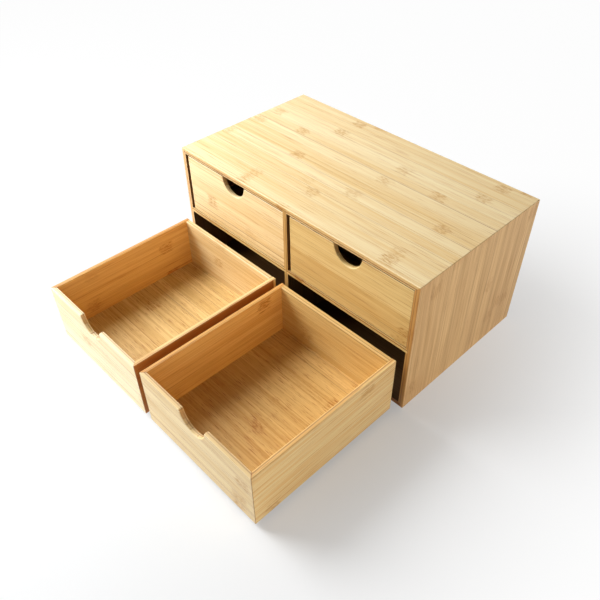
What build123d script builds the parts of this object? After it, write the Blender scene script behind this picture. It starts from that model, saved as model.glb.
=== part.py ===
from build123d import *
import os

# Desktop cabinet of four small drawers, two wide and two high, in thin
# laminated bamboo board. The casing is mitred at its four corners. An upright
# divider and one shelf each side of it are housed in the casing, and a back
# board stands in grooves. Each drawer is five boards: a front with a
# half-round finger notch, mitred to two sides, a back between the sides, and
# a floor in grooves all round.
#
# Millimetres. X runs from left to right, Y from front to back and Z up. The
# origin is the middle of the cabinet's underside.

# Cabinet
cabinet_width = 330.0
cabinet_depth = 187.0
cabinet_height = 158.0
casing_board = 5.5  # thickness of the top, the bottom and both sides
divider_board = 5.5
shelf_board = 5.5
back_board = 4.5
back_inset = 6.5  # from the casing's rear edges to the back board
housing_depth = 1.8  # how far the divider and the shelves enter their housings
back_groove_depth = 2.0
casing_easing = 0.8  # radius on the casing's outer edges
front_edge_easing = 0.4  # radius on the front edges of the divider and shelves

# Drawers
drawer_wall = 5.0
drawer_floor_board = 3.5
drawer_floor_lift = 5.0  # from the walls' lower edges to the floor's underside
floor_groove_depth = 2.0
notch_radius = 17.0
notch_shoulder = 1.5  # radius where the notch meets the top edge
top_edge_bevel = 0.6  # along the walls' top edges and round the notch
drawer_corner_easing = 0.5  # radius on the drawer's upright corners

# How the drawers fit the cabinet
left_clearance = 3.0  # each drawer lies over to the right of its opening
right_clearance = 0.5
running_clearance = 0.3  # under a drawer, and behind it when it is shut
top_clearance = 2.4
front_recess = 1.0  # a shut front stands this far behind the casing's edges

# The lower two drawers are drawn right out, level, and stay in front
drawn_out_gap = 12.0  # from the cabinet's front edges to the drawers' backs

# Sizes that follow
front_y = -cabinet_depth / 2
rear_y = cabinet_depth / 2
back_face_y = rear_y - back_inset - back_board
opening_depth = back_face_y - front_y
opening_width = (cabinet_width - 2 * casing_board - divider_board) / 2
opening_height = (cabinet_height - 2 * casing_board - shelf_board) / 2
shelf_z = casing_board + opening_height
upper_floor_z = shelf_z + shelf_board

drawer_width = opening_width - left_clearance - right_clearance
drawer_height = opening_height - running_clearance - top_clearance
drawer_depth = opening_depth - front_recess - running_clearance

left_column_x = -divider_board / 2 - right_clearance - drawer_width / 2
right_column_x = divider_board / 2 + left_clearance + drawer_width / 2
shut_y = front_y + front_recess
drawn_out_y = front_y - drawn_out_gap - drawer_depth
upper_z = upper_floor_z + running_clearance
lower_z = casing_board + running_clearance


def board_between(low, high):
    """Square-edged board that fills the space between two corners."""
    size = [high[i] - low[i] for i in range(3)]
    middle = [(high[i] + low[i]) / 2 for i in range(3)]
    return Pos(*middle) * Box(*size)


def mitred_board(length, thickness, width):
    """Board mitred at both ends, with its outer face on local y = 0."""
    half = length / 2
    outline = Polyline(
        (-half, 0),
        (half, 0),
        (half - thickness, thickness),
        (-half + thickness, thickness),
        close=True,
    )
    return extrude(make_face(outline), amount=width)


# ---------------------------------------------------------------- cabinet


def ease_front(board, along):
    """Round the long edges of the face that a board shows at the front."""
    front_face = board.faces().sort_by(Axis.Y)[0]
    return fillet(front_face.edges().filter_by(along), front_edge_easing)


def make_divider():
    """Upright board, housed in the top and the bottom."""
    half = divider_board / 2
    board = board_between(
        (-half, front_y, casing_board - housing_depth),
        (half, back_face_y, cabinet_height - casing_board + housing_depth),
    )
    return ease_front(board, Axis.Z)


def make_shelf():
    """Right-hand shelf, housed in the divider and in the side of the casing."""
    board = board_between(
        (divider_board / 2 - housing_depth, front_y, shelf_z),
        (cabinet_width / 2 - casing_board + housing_depth, back_face_y, upper_floor_z),
    )
    return ease_front(board, Axis.X)


def make_back():
    """Back board, held in a groove in each board of the casing."""
    half = cabinet_width / 2 - casing_board + back_groove_depth
    return board_between(
        (-half, back_face_y, casing_board - back_groove_depth),
        (half, back_face_y + back_board, cabinet_height - casing_board + back_groove_depth),
    )


def make_casing(housed_boards):
    """The four mitred boards, each cut with the housings of what it holds."""
    block = board_between(
        (-cabinet_width / 2, front_y, 0),
        (cabinet_width / 2, rear_y, cabinet_height),
    )
    eased_block = fillet(block.edges(), casing_easing)
    half_width = cabinet_width / 2
    half_height = cabinet_height / 2
    to_rear = (0, 1, 0)
    outer_planes = {
        "top_panel": (cabinet_width, Plane((0, front_y, cabinet_height), (1, 0, 0), to_rear)),
        "bottom_panel": (cabinet_width, Plane((0, front_y, 0), (-1, 0, 0), to_rear)),
        "left_side_panel": (cabinet_height, Plane((-half_width, front_y, half_height), (0, 0, 1), to_rear)),
        "right_side_panel": (cabinet_height, Plane((half_width, front_y, half_height), (0, 0, -1), to_rear)),
    }
    casing = {}
    for name, (length, outer_plane) in outer_planes.items():
        board = outer_plane * mitred_board(length, casing_board, cabinet_depth)
        board = board & eased_block
        for housed in housed_boards:
            board = board - housed
        casing[name] = board
    return casing


def make_cabinet():
    """The eight boards of the cabinet, by name."""
    back_panel = make_back()
    divider = make_divider()
    right_shelf = make_shelf()
    left_shelf = mirror(right_shelf, about=Plane.YZ)
    boards = make_casing([back_panel, divider, left_shelf, right_shelf])
    boards["back_panel"] = back_panel
    boards["centre_divider"] = divider - left_shelf - right_shelf
    boards["left_shelf"] = left_shelf
    boards["right_shelf"] = right_shelf
    return boards


# ---------------------------------------------------------------- drawers
# A drawer is made with the outer face of its front on y = 0, its lower edges
# on z = 0 and its middle on x = 0, and is then put in its place.


def bevel_top(wall, across):
    """Bevel the top of both broad faces, through the notch if there is one."""
    top_edges = ShapeList()
    for face in wall.faces().filter_by(across):
        upright_left_out = face.edges().filter_by(Axis.Z, reverse=True)
        top_edges += upright_left_out.sort_by(Axis.Z)[1:]
    return chamfer(top_edges, top_edge_bevel)


def make_front():
    """Front board with mitred ends and a half-round notch in its top edge."""
    outline = Rectangle(drawer_width, drawer_height, align=(Align.CENTER, Align.MIN))
    outline -= Pos(0, drawer_height) * Circle(notch_radius)
    shoulders = outline.vertices().group_by(Axis.Y)[-1].sort_by(Axis.X)[1:-1]
    outline = fillet(shoulders, notch_shoulder)
    board = bevel_top(extrude(Plane.XZ * outline, amount=-drawer_wall), Axis.Y)
    return board & mitred_board(drawer_width, drawer_wall, drawer_height)


def make_side():
    """Right-hand side: mitred to the front, and square behind the back."""
    outer_x = drawer_width / 2
    inner_x = outer_x - drawer_wall
    outline = Polyline(
        (outer_x, 0),
        (outer_x, drawer_depth),
        (inner_x, drawer_depth),
        (inner_x, drawer_wall),
        close=True,
    )
    blank = board_between((inner_x, 0, 0), (outer_x, drawer_depth, drawer_height))
    return bevel_top(blank, Axis.X) & extrude(make_face(outline), amount=drawer_height)


def make_drawer_back():
    """Back board, square-ended, between the two sides."""
    half = drawer_width / 2 - drawer_wall
    board = board_between(
        (-half, drawer_depth - drawer_wall, 0),
        (half, drawer_depth, drawer_height),
    )
    return bevel_top(board, Axis.Y)


def make_floor():
    """Floor board, which enters a groove in each wall."""
    half = drawer_width / 2 - drawer_wall + floor_groove_depth
    front_edge = drawer_wall - floor_groove_depth
    return board_between(
        (-half, front_edge, drawer_floor_lift),
        (half, drawer_depth - front_edge, drawer_floor_lift + drawer_floor_board),
    )


def make_drawer():
    """The five boards of one drawer, by name."""
    floor = make_floor()
    right_side = make_side()
    walls = {
        "front": make_front(),
        "back": make_drawer_back(),
        "left_side": mirror(right_side, about=Plane.YZ),
        "right_side": right_side,
    }
    block = board_between(
        (-drawer_width / 2, 0, 0),
        (drawer_width / 2, drawer_depth, drawer_height),
    )
    eased_block = fillet(block.edges().filter_by(Axis.Z), drawer_corner_easing)
    drawer = {name: (wall & eased_block) - floor for name, wall in walls.items()}
    drawer["floor"] = floor
    return drawer


drawer_places = {
    "upper_left_drawer": (left_column_x, shut_y, upper_z),
    "upper_right_drawer": (right_column_x, shut_y, upper_z),
    "lower_left_drawer": (left_column_x, drawn_out_y, lower_z),
    "lower_right_drawer": (right_column_x, drawn_out_y, lower_z),
}

parts = make_cabinet()
drawer_boards = make_drawer()
for drawer_name, place in drawer_places.items():
    for board_name, board in drawer_boards.items():
        parts[f"{drawer_name}_{board_name}"] = Pos(*place) * board

os.makedirs("parts", exist_ok=True)
for part_name, part in parts.items():
    export_step(part, f"parts/{part_name}.step")
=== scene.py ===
import math

import bpy
from mathutils import Matrix, Vector


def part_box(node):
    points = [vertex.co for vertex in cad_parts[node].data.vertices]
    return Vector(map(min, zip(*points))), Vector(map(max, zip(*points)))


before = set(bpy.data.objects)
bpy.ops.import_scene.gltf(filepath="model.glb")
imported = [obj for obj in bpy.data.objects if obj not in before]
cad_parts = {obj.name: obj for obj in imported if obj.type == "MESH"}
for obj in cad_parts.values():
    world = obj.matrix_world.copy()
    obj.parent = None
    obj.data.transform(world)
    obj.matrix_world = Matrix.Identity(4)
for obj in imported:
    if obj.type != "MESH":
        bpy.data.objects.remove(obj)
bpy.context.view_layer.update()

# ---------------------------------------------------------------- casing
# Top, bottom and two sides of laminated bamboo board 5.5 mm thick, mitred and
# glued at the corners. Strips of bamboo one to two centimetres wide lie side
# by side, and the grain runs round the casing: across the top, down the sides.

MM = 1000.0

# The pale and the dark tone of a board's strips
NATURAL = ("#FBE8BA", "#EBC98B")
ROSY = ("#F8D294", "#D6A86C")
TAN = ("#E1BD78", "#BF914A")

# Tones that are laid over the wood: all but the end grain are multiplied in
FIBRE_MARK = "#BE8A4C"
SEAM_MARK = "#9A6230"
NODE_MARK = "#CCA45C"
EDGE_MARK = "#C8A656"
# Painted shade, laid on the inner faces inside the casing and the drawers
DARK_PAINTED_SHADE = "#482812"
END_GRAIN = "#C08D50"

# Sizes of the pattern, in millimetres. A pair named FADE says how far from its
# middle a line or patch is still whole, and where it has faded out. Real fibres
# are under half a millimetre wide, and are drawn as coarse as they need to show.
STRIP_WIDTH = 14.0
STRIP_SWAY = 1.8  # in widths of a strip
SWAY_PER_MM = 0.05
SEAM_FADE = (0.15, 0.7)
NODE_SPACING = 190.0
NODE_SHIFT = 7.0  # in spacings, from one strip to another
NODE_FADE = (5.0, 10.0)
NODE_FROM_SEAM = (0.2, 1.2)  # where a node sets in beside a seam, and where it is whole
NODE_RAGGEDNESS = 18.0
FINE_FIBRE = {"length_mm": 110.0, "width_mm": 1.4, "detail": 3.0}
BROAD_FIBRE = {"length_mm": 240.0, "width_mm": 5.0, "detail": 2.0}
NODE_EDGE_FIBRE = {"length_mm": 12.0, "width_mm": 2.0, "detail": 2.0}
NODE_DASH = {"length_mm": 5.0, "width_mm": 1.1, "detail": 2.0}
PORE_WIDTH = 0.8
PLY_FADE = (0.25, 0.75)
MITRE_FADE = (0.12, 0.6)
BACK_BOARD_Y = 84.0  # the painted shade of the inner faces ends here, as the rim behind the back board is plain

# How much the strips, the bands and the fibres change the tone
STRIP_SHARE = 0.5
FIBRE_SHARE = 1.7

# Levels between which pores, a node's dashes and strips that have nodes set in
PORE_LEVELS = (0.56, 0.74)
DASH_LEVELS = (0.44, 0.62)
NODED_STRIPS = (0.3, 0.8)

# Each board's piece of the pattern starts this far from the last one's
PATTERN_STEP_ALONG = 613.0
PATTERN_STEP_ACROSS = 47.3
PATTERN_START = 3000.0

# Sanded and given a satin clear lacquer, which deepens the tones and has a
# soft sheen, a little duller on dark fibres
LACQUER_IOR = 1.5
LACQUER_ROUGHNESS = (0.42, 0.56)
FIBRE_RELIEF = 0.0001
RELIEF_SHOWN = 0.25

# A face has this much of its normal along the thickness, and all else is an
# edge. A square-cut end has this much of it along the grain.
FACE_TURN = 0.6
END_TURN = 0.8


def linear(hex_colour):
    """Scene-linear colour of an sRGB hex value."""
    channels = [int(hex_colour[i : i + 2], 16) / 255 for i in (1, 3, 5)]
    return [c / 12.92 if c <= 0.04045 else ((c + 0.055) / 1.055) ** 2.4 for c in channels] + [1.0]


def add_node(tree, kind, inputs=None, **settings):
    """Add one shader node, with its settings and its values or links.

    inputs gives each socket a value, an output of another node, or a node,
    which stands for its first output.
    """
    node = tree.nodes.new("ShaderNode" + kind)
    for name, value in settings.items():
        setattr(node, name, value)
    for socket, value in (inputs or {}).items():
        if isinstance(value, bpy.types.Node):
            value = value.outputs[0]
        if isinstance(value, bpy.types.NodeSocket):
            tree.links.new(value, node.inputs[socket])
        else:
            node.inputs[socket].default_value = value
    return node


def bamboo_board(
    node_name, along, through, outward, wood, number,
    mitred="none", fibres=1.0, bands=1.0, pores=(38.0, 0.5), nodes=1.0, seams=1.0,
    painted_shade=0.0, painted_shade_tone=DARK_PAINTED_SHADE, edge=0.0, edge_mark=EDGE_MARK, edge_from=-1.0,
    ply=0.5, glue=0.6,
):
    """Lacquered bamboo for one board.

    along and through name the axes of the grain and of the thickness, and
    outward is the sign of the outer face on the through axis. wood is the pale
    and the dark tone of the strips, and number gives each board a pattern of
    its own. mitred says which ends are cut at 45 degrees: none, both or low.
    fibres and bands scale the fine and the broad streaks, pores are the length
    and strength of the short dashes, and nodes and seams scale what their names
    say. painted_shade and painted_shade_tone paint shade onto the inner face, for
    the dark inside the casing and the drawers. edge and edge_mark tint the edges,
    from edge_from millimetres off the middle. ply and glue are the lines between
    the plies and at the mitres.
    """
    low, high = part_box(node_name)
    centre = (low + high) / 2 * MM
    size = (high - low) * MM
    across = next(axis for axis in "XYZ" if axis not in (along, through))
    length = size["XYZ".index(along)]
    thickness = size["XYZ".index(through)]

    material = bpy.data.materials.new("lacquered_bamboo_" + node_name)
    material.use_nodes = True
    tree = material.node_tree
    tree.nodes.clear()

    # Where a point lies on the board, in millimetres from its middle
    coordinates = add_node(tree, "TexCoord")
    from_centre = add_node(
        tree, "Mapping",
        {"Vector": coordinates.outputs["Object"], "Location": -centre, "Scale": (MM, MM, MM)},
    )
    place = add_node(tree, "SeparateXYZ", {0: from_centre})
    depth = place.outputs[through]
    off_middle = add_node(tree, "Math", {0: place.outputs[along]}, operation="ABSOLUTE")

    # Which of its faces the point is on
    facing = add_node(tree, "SeparateXYZ", {0: coordinates.outputs["Normal"]})
    flatness = add_node(tree, "Math", {0: facing.outputs[through]}, operation="ABSOLUTE")
    on_edge = add_node(tree, "Math", {0: flatness, 1: FACE_TURN}, operation="LESS_THAN")
    endwise = add_node(tree, "Math", {0: facing.outputs[along]}, operation="ABSOLUTE")
    on_end = add_node(tree, "Math", {0: endwise, 1: END_TURN}, operation="GREATER_THAN")

    # Where it lies in the pattern, along the grain and across it
    along_start = PATTERN_STEP_ALONG * number
    across_start = PATTERN_START + PATTERN_STEP_ACROSS * number
    grain = add_node(tree, "Math", {0: place.outputs[along], 1: along_start}, operation="ADD")
    side = add_node(tree, "Math", {0: place.outputs[across], 1: across_start}, operation="ADD")

    # Strips of uneven width, each with a tone and nodes of its own
    slow = add_node(tree, "Math", {0: side, 1: SWAY_PER_MM}, operation="MULTIPLY")
    sway = add_node(tree, "TexNoise", {"W": slow}, noise_dimensions="1D")
    even_row = add_node(tree, "Math", {0: side, 1: STRIP_WIDTH}, operation="DIVIDE")
    uneven_row = {0: sway.outputs["Fac"], 1: STRIP_SWAY, 2: even_row}
    row = add_node(tree, "Math", uneven_row, operation="MULTIPLY_ADD")
    strip = add_node(tree, "Math", {0: row}, operation="FLOOR")
    chance = add_node(tree, "TexWhiteNoise", {"W": strip}, noise_dimensions="1D")
    chances = add_node(tree, "SeparateColor", {0: chance.outputs["Color"]})
    node_place, seam_strength, node_strength = chances.outputs

    def streaks(length_mm, width_mm, detail):
        """Noise about 0.5, drawn out along the grain."""
        stretched = {
            0: add_node(tree, "Math", {0: grain, 1: length_mm}, operation="DIVIDE"),
            1: add_node(tree, "Math", {0: side, 1: width_mm}, operation="DIVIDE"),
            2: add_node(tree, "Math", {0: depth, 1: width_mm * 2}, operation="DIVIDE"),
        }
        vector = add_node(tree, "CombineXYZ", stretched)
        return add_node(tree, "TexNoise", {"Vector": vector, "Scale": 1.0, "Detail": detail}).outputs["Fac"]

    # The strip's own tone, with broad bands and fine fibres in it
    fine = streaks(**FINE_FIBRE)
    broad = streaks(**BROAD_FIBRE)
    tone = 0.5
    patterns = ((chance.outputs["Value"], STRIP_SHARE), (broad, bands), (fine, FIBRE_SHARE * fibres))
    for pattern, share in patterns:
        about_zero = add_node(tree, "Math", {0: pattern, 1: 0.5}, operation="SUBTRACT")
        tone = add_node(tree, "Math", {0: about_zero, 1: share, 2: tone}, operation="MULTIPLY_ADD")
    strip_tones = {0: tone, 6: linear(wood[0]), 7: linear(wood[1])}
    colour = add_node(tree, "Mix", strip_tones, data_type="RGBA").outputs[2]

    # What is laid over it, in this order: how much there is of it, its tone and its blend
    marks = []

    # Pores: short dark dashes
    pore_length, pore_strength = pores
    pore_noise = streaks(pore_length, PORE_WIDTH, detail=2.0)
    pore = add_node(
        tree, "MapRange",
        {0: pore_noise, 1: PORE_LEVELS[0], 2: PORE_LEVELS[1], 3: 0.0, 4: pore_strength},
        interpolation_type="SMOOTHSTEP",
    )
    marks.append((pore, FIBRE_MARK, "MULTIPLY"))

    # Seams between strips, some of them hardly seen
    strips_off = add_node(tree, "Math", {0: row, 1: 0.5}, operation="PINGPONG")
    to_seam = add_node(tree, "Math", {0: strips_off, 1: STRIP_WIDTH}, operation="MULTIPLY")
    seam_line = add_node(
        tree, "MapRange",
        {0: to_seam, 1: SEAM_FADE[0], 2: SEAM_FADE[1], 3: 0.75 * seams, 4: 0.0},
        interpolation_type="SMOOTHSTEP",
    )
    seam = add_node(tree, "Math", {0: seam_line, 1: seam_strength}, operation="MULTIPLY")
    marks.append((seam, SEAM_MARK, "MULTIPLY"))

    # Nodes: the ring across a cane, planed through, leaves a patch of short dashes
    canes = add_node(tree, "Math", {0: grain, 1: NODE_SPACING}, operation="DIVIDE")
    phase = add_node(tree, "Math", {0: node_place, 1: NODE_SHIFT, 2: canes}, operation="MULTIPLY_ADD")
    canes_off = add_node(tree, "Math", {0: phase, 1: 0.5}, operation="PINGPONG")
    to_node = add_node(tree, "Math", {0: canes_off, 1: NODE_SPACING}, operation="MULTIPLY")
    uneven = add_node(tree, "Math", {0: streaks(**NODE_EDGE_FIBRE), 1: 0.5}, operation="SUBTRACT")
    to_patch = add_node(
        tree, "Math", {0: uneven, 1: NODE_RAGGEDNESS, 2: to_node}, operation="MULTIPLY_ADD"
    )
    patch = 1.0
    for value, (start, end), at_start, at_end in (
        (to_patch, NODE_FADE, 0.75, 0.0),
        (to_seam, NODE_FROM_SEAM, 0.0, 1.0),
        (node_strength, NODED_STRIPS, 0.0, nodes),
        (streaks(**NODE_DASH), DASH_LEVELS, 0.25, 1.0),
    ):
        step = {0: value, 1: start, 2: end, 3: at_start, 4: at_end}
        factor = add_node(tree, "MapRange", step, interpolation_type="SMOOTHSTEP")
        patch = add_node(tree, "Math", {0: factor, 1: patch}, operation="MULTIPLY")
    marks.append((patch, NODE_MARK, "MULTIPLY"))

    # Painted shade on the inner face, in front of the back board, for the dark inside the casing and the
    # drawers
    outwards = add_node(tree, "Math", {0: depth, 1: outward}, operation="MULTIPLY")
    inner = add_node(tree, "Math", {0: outwards, 1: -thickness / 3}, operation="LESS_THAN")
    on_face = add_node(tree, "Math", {0: 1.0, 1: on_edge}, operation="SUBTRACT")
    in_front = add_node(tree, "Math", {0: place.outputs["Y"], 1: BACK_BOARD_Y}, operation="LESS_THAN")
    painted_shade_amount = painted_shade
    for where in (inner, on_face, in_front):
        painted_shade_amount = add_node(tree, "Math", {0: where, 1: painted_shade_amount}, operation="MULTIPLY")
    marks.append((painted_shade_amount, painted_shade_tone, "MULTIPLY"))

    # The glue line between the plies, which the edges show
    past_glue = add_node(tree, "Math", {0: depth, 1: outward * thickness / 6}, operation="ADD")
    to_glue = add_node(tree, "Math", {0: past_glue}, operation="ABSOLUTE")
    ply_line = add_node(
        tree, "MapRange",
        {0: to_glue, 1: PLY_FADE[0], 2: PLY_FADE[1], 3: ply, 4: 0.0},
        interpolation_type="SMOOTHSTEP",
    )
    ply_on_edge = add_node(tree, "Math", {0: ply_line, 1: on_edge}, operation="MULTIPLY")
    marks.append((ply_on_edge, SEAM_MARK, "MULTIPLY"))

    # The tint of the edges, and the darker end grain of a square cut
    beyond = add_node(tree, "Math", {0: off_middle, 1: edge_from}, operation="GREATER_THAN")
    tinted = add_node(tree, "Math", {0: on_edge, 1: beyond}, operation="MULTIPLY")
    tint = add_node(tree, "Math", {0: tinted, 1: edge}, operation="MULTIPLY")
    marks.append((tint, edge_mark, "MULTIPLY"))
    cut_end = add_node(tree, "Math", {0: on_end, 1: 0.7}, operation="MULTIPLY")
    marks.append((cut_end, END_GRAIN, "MIX"))

    # A glued mitre shows as a thin dark line
    if mitred != "none":
        reach = off_middle
        if mitred == "low":
            reach = add_node(tree, "Math", {0: place.outputs[along], 1: -1.0}, operation="MULTIPLY")
        under_face = add_node(
            tree, "Math", {0: depth, 1: -outward, 2: thickness / 2}, operation="MULTIPLY_ADD"
        )
        to_corner = add_node(tree, "Math", {0: reach, 1: under_face}, operation="ADD")
        to_mitre = add_node(tree, "Math", {0: length / 2, 1: to_corner}, operation="SUBTRACT")
        mitre_line = add_node(
            tree, "MapRange",
            {0: to_mitre, 1: MITRE_FADE[0], 2: MITRE_FADE[1], 3: glue, 4: 0.0},
            interpolation_type="SMOOTHSTEP",
        )
        marks.append((mitre_line, SEAM_MARK, "MULTIPLY"))

    for amount, mark, blend in marks:
        laid_on = {0: amount, 6: colour, 7: linear(mark)}
        colour = add_node(tree, "Mix", laid_on, data_type="RGBA", blend_type=blend).outputs[2]

    relief = {"Strength": RELIEF_SHOWN, "Distance": FIBRE_RELIEF, "Height": fine}
    bump = add_node(tree, "Bump", relief)
    smooth, rough = LACQUER_ROUGHNESS
    roughness = add_node(tree, "MapRange", {0: fine, 1: 0.3, 2: 0.7, 3: smooth, 4: rough})
    lacquered = add_node(
        tree, "BsdfPrincipled",
        {"Base Color": colour, "Roughness": roughness, "IOR": LACQUER_IOR, "Normal": bump},
    )
    add_node(tree, "OutputMaterial", {"Surface": lacquered})

    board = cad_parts[node_name]
    board.data.materials.clear()
    board.data.materials.append(material)


# The inner faces of the casing are painted with shade
bamboo_board(
    "top_panel", "X", "Z", 1, NATURAL, 1,
    mitred="both", fibres=0.75, bands=1.4, nodes=0.9, painted_shade=0.88, edge=0.6, ply=0.8, glue=0.15,
)
bamboo_board(
    "bottom_panel", "X", "Z", -1, TAN, 2,
    mitred="both", painted_shade=0.88, edge=1.0, glue=0.15,
)
bamboo_board(
    "left_side_panel", "Z", "X", -1, ROSY, 3,
    mitred="both", fibres=1.2, bands=1.6, nodes=0.6, seams=0.4, painted_shade=0.88, glue=0.15,
)
bamboo_board(
    "right_side_panel", "Z", "X", 1, ROSY, 130,
    mitred="both", fibres=1.4, bands=1.1, nodes=0.6, seams=0.4, painted_shade=0.88, edge=0.7, glue=0.15,
)

# ---------------------------------------------------------------- inner boards
# The back stands in grooves, and the divider and shelves in housings. Their
# front edges are seen between the drawers, with the glue line of their plies.

HONEY = ("#E9CA86", "#CFA35B")

# Their inner faces are painted with shade, as they lie inside the bays
bamboo_board("back_panel", "X", "Y", 1, TAN, 5, painted_shade=0.88)
bamboo_board("centre_divider", "Z", "X", -1, TAN, 6, painted_shade=0.88, edge=0.3)
bamboo_board("left_shelf", "X", "Z", -1, HONEY, 7, painted_shade=0.6, ply=0.9)
bamboo_board("right_shelf", "X", "Z", -1, HONEY, 8, painted_shade=0.6, ply=0.9)

# ---------------------------------------------------------------- drawers
# Five boards each, glued: a notched front mitred to two sides, a back between
# the sides and a floor in grooves. The floor's grain runs from side to side.

IVORY = ("#FFF2CE", "#F5DDA6")
PALE = ("#F6E0B0", "#E2C083")
WHEAT = ("#EBCF8D", "#D1A65F")
GOLD = ("#FFE8AE", "#F0C37C")
ORANGE = ("#F8CA7C", "#DEA254")
AMBER = ("#E9BB70", "#CF924A")
STRAW = ("#E4C686", "#C29A56")
# Painted shade for the top edge of a shut front, which lies in the gap's shade
SHADED_MARK = "#5E3818"
# Painted shade for the outer face of a drawer side that stands in the gap between the lower drawers
BROWN_PAINTED_SHADE = "#AE8054"
NOTCH_HALF = 18.0
FLOOR_PORES = (14.0, 0.9)
FIRST_NUMBER = 10

# The wood of each drawer's front, left side, back and floor, and its left side's pattern number
DRAWER_WOODS = {
    "upper_left_drawer": (PALE, ORANGE, HONEY, TAN, 12),
    "upper_right_drawer": (WHEAT, ORANGE, HONEY, TAN, 17),
    "lower_left_drawer": (IVORY, AMBER, PALE, STRAW, 22),
    "lower_right_drawer": (PALE, ORANGE, HONEY, TAN, 49),
}

for order, (drawer, woods) in enumerate(DRAWER_WOODS.items()):
    front_wood, left_wood, back_wood, floor_wood, left_number = woods
    number = FIRST_NUMBER + 5 * order
    if drawer.startswith("upper"):
        # Beside its notch, the top edge of a shut front is painted with the shade of the gap above it
        front_edge = {"edge": 0.9, "edge_mark": SHADED_MARK, "edge_from": NOTCH_HALF}
    else:
        front_edge = {"edge": 0.3}
    bamboo_board(
        drawer + "_front", "X", "Y", -1, front_wood, number, mitred="both", fibres=0.7, **front_edge
    )
    bamboo_board(
        drawer + "_left_side", "Y", "X", -1, left_wood, left_number,
        mitred="low", fibres=1.3, nodes=1.6, seams=0.5, edge=0.2,
    )
    # The back's inner face gets a little painted shade
    bamboo_board(drawer + "_back", "X", "Y", 1, back_wood, number + 1, painted_shade=0.1, edge=0.2)
    if drawer == "lower_left_drawer":
        # Painted shade on its outer face, which is seen in the shade of the gap between the drawers, so
        # outward points the other way
        bamboo_board(
            drawer + "_right_side", "Y", "X", -1, GOLD, number + 3,
            fibres=1.5, painted_shade=1.0, painted_shade_tone=BROWN_PAINTED_SHADE, edge=0.1,
        )
    else:
        bamboo_board(
            drawer + "_right_side", "Y", "X", 1, GOLD, number + 3,
            mitred="low", fibres=1.5, edge=0.2,
        )
    bamboo_board(drawer + "_floor", "X", "Z", 1, floor_wood, number + 4, pores=FLOOR_PORES)

# ---------------------------------------------------------------- table
# A plain pale surface that keeps the object's shadow. The camera and glossy
# rays see it lifted towards white, a little in the shadow and almost wholly
# beyond it, which adds no light to the object.

TABLE_COLOUR = "#F0F3F6"
TABLE_SIZE = 8.0
LIFT_IN_SHADOW = 0.28
LIFT_BEYOND = 0.97
SHADOW_PLACE = Vector((0.13, -0.15, 0.0))
SHADOW_SCALE = Vector((2.0, 0.9, 1.0))
SHADOW_REACH = 0.55

bpy.ops.mesh.primitive_plane_add(size=TABLE_SIZE)
table = bpy.context.object
table.name = "table"
table_material = bpy.data.materials.new("matt_white_paper")
table_material.use_nodes = True
table_tree = table_material.node_tree
table_tree.nodes.clear()
rays = add_node(table_tree, "LightPath")
seen = add_node(
    table_tree, "Math",
    {0: rays.outputs["Is Camera Ray"], 1: rays.outputs["Is Glossy Ray"]},
    operation="MAXIMUM",
)
table_place = add_node(table_tree, "TexCoord")
from_shadow = add_node(
    table_tree, "Mapping",
    {
        "Vector": table_place.outputs["Object"],
        "Location": -SHADOW_PLACE * SHADOW_SCALE,
        "Scale": SHADOW_SCALE,
    },
)
distance = add_node(table_tree, "VectorMath", {0: from_shadow}, operation="LENGTH")
lift_there = add_node(
    table_tree, "MapRange",
    {0: distance.outputs["Value"], 1: 0.0, 2: SHADOW_REACH, 3: LIFT_IN_SHADOW, 4: LIFT_BEYOND},
    interpolation_type="SMOOTHSTEP",
)
lift = add_node(table_tree, "Math", {0: seen, 1: lift_there}, operation="MULTIPLY")
paper = add_node(table_tree, "BsdfDiffuse", {"Color": linear(TABLE_COLOUR)})
white = add_node(table_tree, "Emission", {"Color": linear("#FFFFFF"), "Strength": 1.0})
shown_table = add_node(table_tree, "MixShader", {0: lift, 1: paper, 2: white})
add_node(table_tree, "OutputMaterial", {"Surface": shown_table})
table.data.materials.append(table_material)

# ---------------------------------------------------------------- light
# One soft lamp from the front left and above, as in a small photo studio, and
# a warm surround, brighter low down and at the right, that fills the shadows.

LAMP_PLACE = Vector((-0.70, -0.47, 0.68))
LAMP_AIM = Vector((0.0, -0.1, 0.05))
LAMP_SIZE = 0.69
LAMP_WATTS = 17.8
FILL_COLOUR = "#FFF5E8"
WALLS_STRENGTH = 1.85
WALLS_TOP = 0.22
CEILING_STRENGTH = 0.06
CEILING_EDGE = 0.42
BRIGHT_SIDE = (0.55, 0.45, 0.0)
EVEN_SHARE = 0.7
BACKDROP_COLOUR = "#FDFDFD"

lamp_data = bpy.data.lights.new("studio_lamp", "AREA")
lamp_data.shape = "DISK"
lamp_data.size = LAMP_SIZE
lamp_data.energy = LAMP_WATTS
lamp = bpy.data.objects.new("studio_lamp", lamp_data)
lamp.location = LAMP_PLACE
lamp.rotation_euler = (LAMP_PLACE - LAMP_AIM).to_track_quat("Z", "Y").to_euler()
bpy.context.scene.collection.objects.link(lamp)

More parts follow.
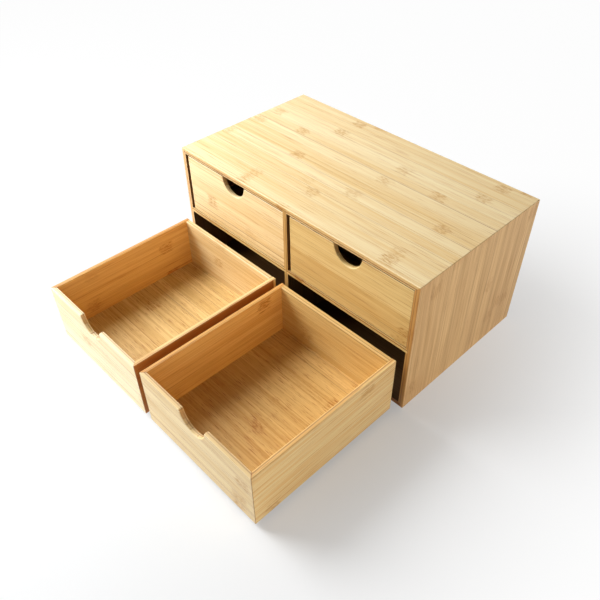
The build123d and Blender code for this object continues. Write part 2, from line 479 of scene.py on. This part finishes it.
world = bpy.data.worlds.new("warm_surround")
bpy.context.scene.world = world
world.use_nodes = True
world_tree = world.node_tree
world_tree.nodes.clear()
direction = add_node(world_tree, "TexCoord")
height = add_node(world_tree, "SeparateXYZ", {0: direction.outputs["Generated"]})
room = add_node(
    world_tree, "MapRange",
    {0: height.outputs["Z"], 1: WALLS_TOP, 2: CEILING_EDGE, 3: WALLS_STRENGTH, 4: CEILING_STRENGTH},
    interpolation_type="SMOOTHSTEP",
)
to_right = add_node(
    world_tree, "VectorMath",
    {0: direction.outputs["Generated"], 1: BRIGHT_SIDE},
    operation="DOT_PRODUCT",
)
share = add_node(world_tree, "Math", {0: to_right.outputs["Value"], 1: EVEN_SHARE}, operation="ADD")
strength = add_node(world_tree, "Math", {0: room, 1: share}, operation="MULTIPLY")
fill = add_node(world_tree, "Background", {"Color": linear(FILL_COLOUR), "Strength": strength})
backdrop = add_node(world_tree, "Background", {"Color": linear(BACKDROP_COLOUR), "Strength": 1.0})
world_rays = add_node(world_tree, "LightPath")
seen_directly = add_node(
    world_tree, "Math",
    {0: world_rays.outputs["Is Camera Ray"], 1: world_rays.outputs["Is Glossy Ray"]},
    operation="MAXIMUM",
)
sky = add_node(world_tree, "MixShader", {0: seen_directly, 1: fill, 2: backdrop})
add_node(world_tree, "OutputWorld", {"Surface": sky})
bpy.context.scene.view_settings.view_transform = "Standard"

# ---------------------------------------------------------------- camera
# It looks down on the front right corner, from half a metre above the table.

CAMERA_PLACE = Vector((0.3847, -0.4412, 0.5115))
AZIMUTH = math.radians(46.33)
ELEVATION = math.radians(42.42)
ROLL = math.radians(-0.65)
FOCAL_PIXELS = 646.0
FRAME_PIXELS = 600
NEAREST_SEEN = 0.01

backward = Vector((math.sin(AZIMUTH), -math.cos(AZIMUTH), 0)) * math.cos(ELEVATION)
backward.z = math.sin(ELEVATION)
level_right = Vector((0, 0, 1)).cross(backward).normalized()
level_up = backward.cross(level_right)
right = level_right * math.cos(ROLL) + level_up * math.sin(ROLL)
up = backward.cross(right)
camera_data = bpy.data.cameras.new("camera")
camera_data.sensor_fit = "HORIZONTAL"
camera_data.lens = FOCAL_PIXELS / FRAME_PIXELS * camera_data.sensor_width
camera_data.clip_start = NEAREST_SEEN
camera = bpy.data.objects.new("camera", camera_data)
camera.matrix_world = Matrix.Translation(CAMERA_PLACE) @ Matrix((right, up, backward)).transposed().to_4x4()
bpy.context.scene.collection.objects.link(camera)
bpy.context.scene.camera = camera
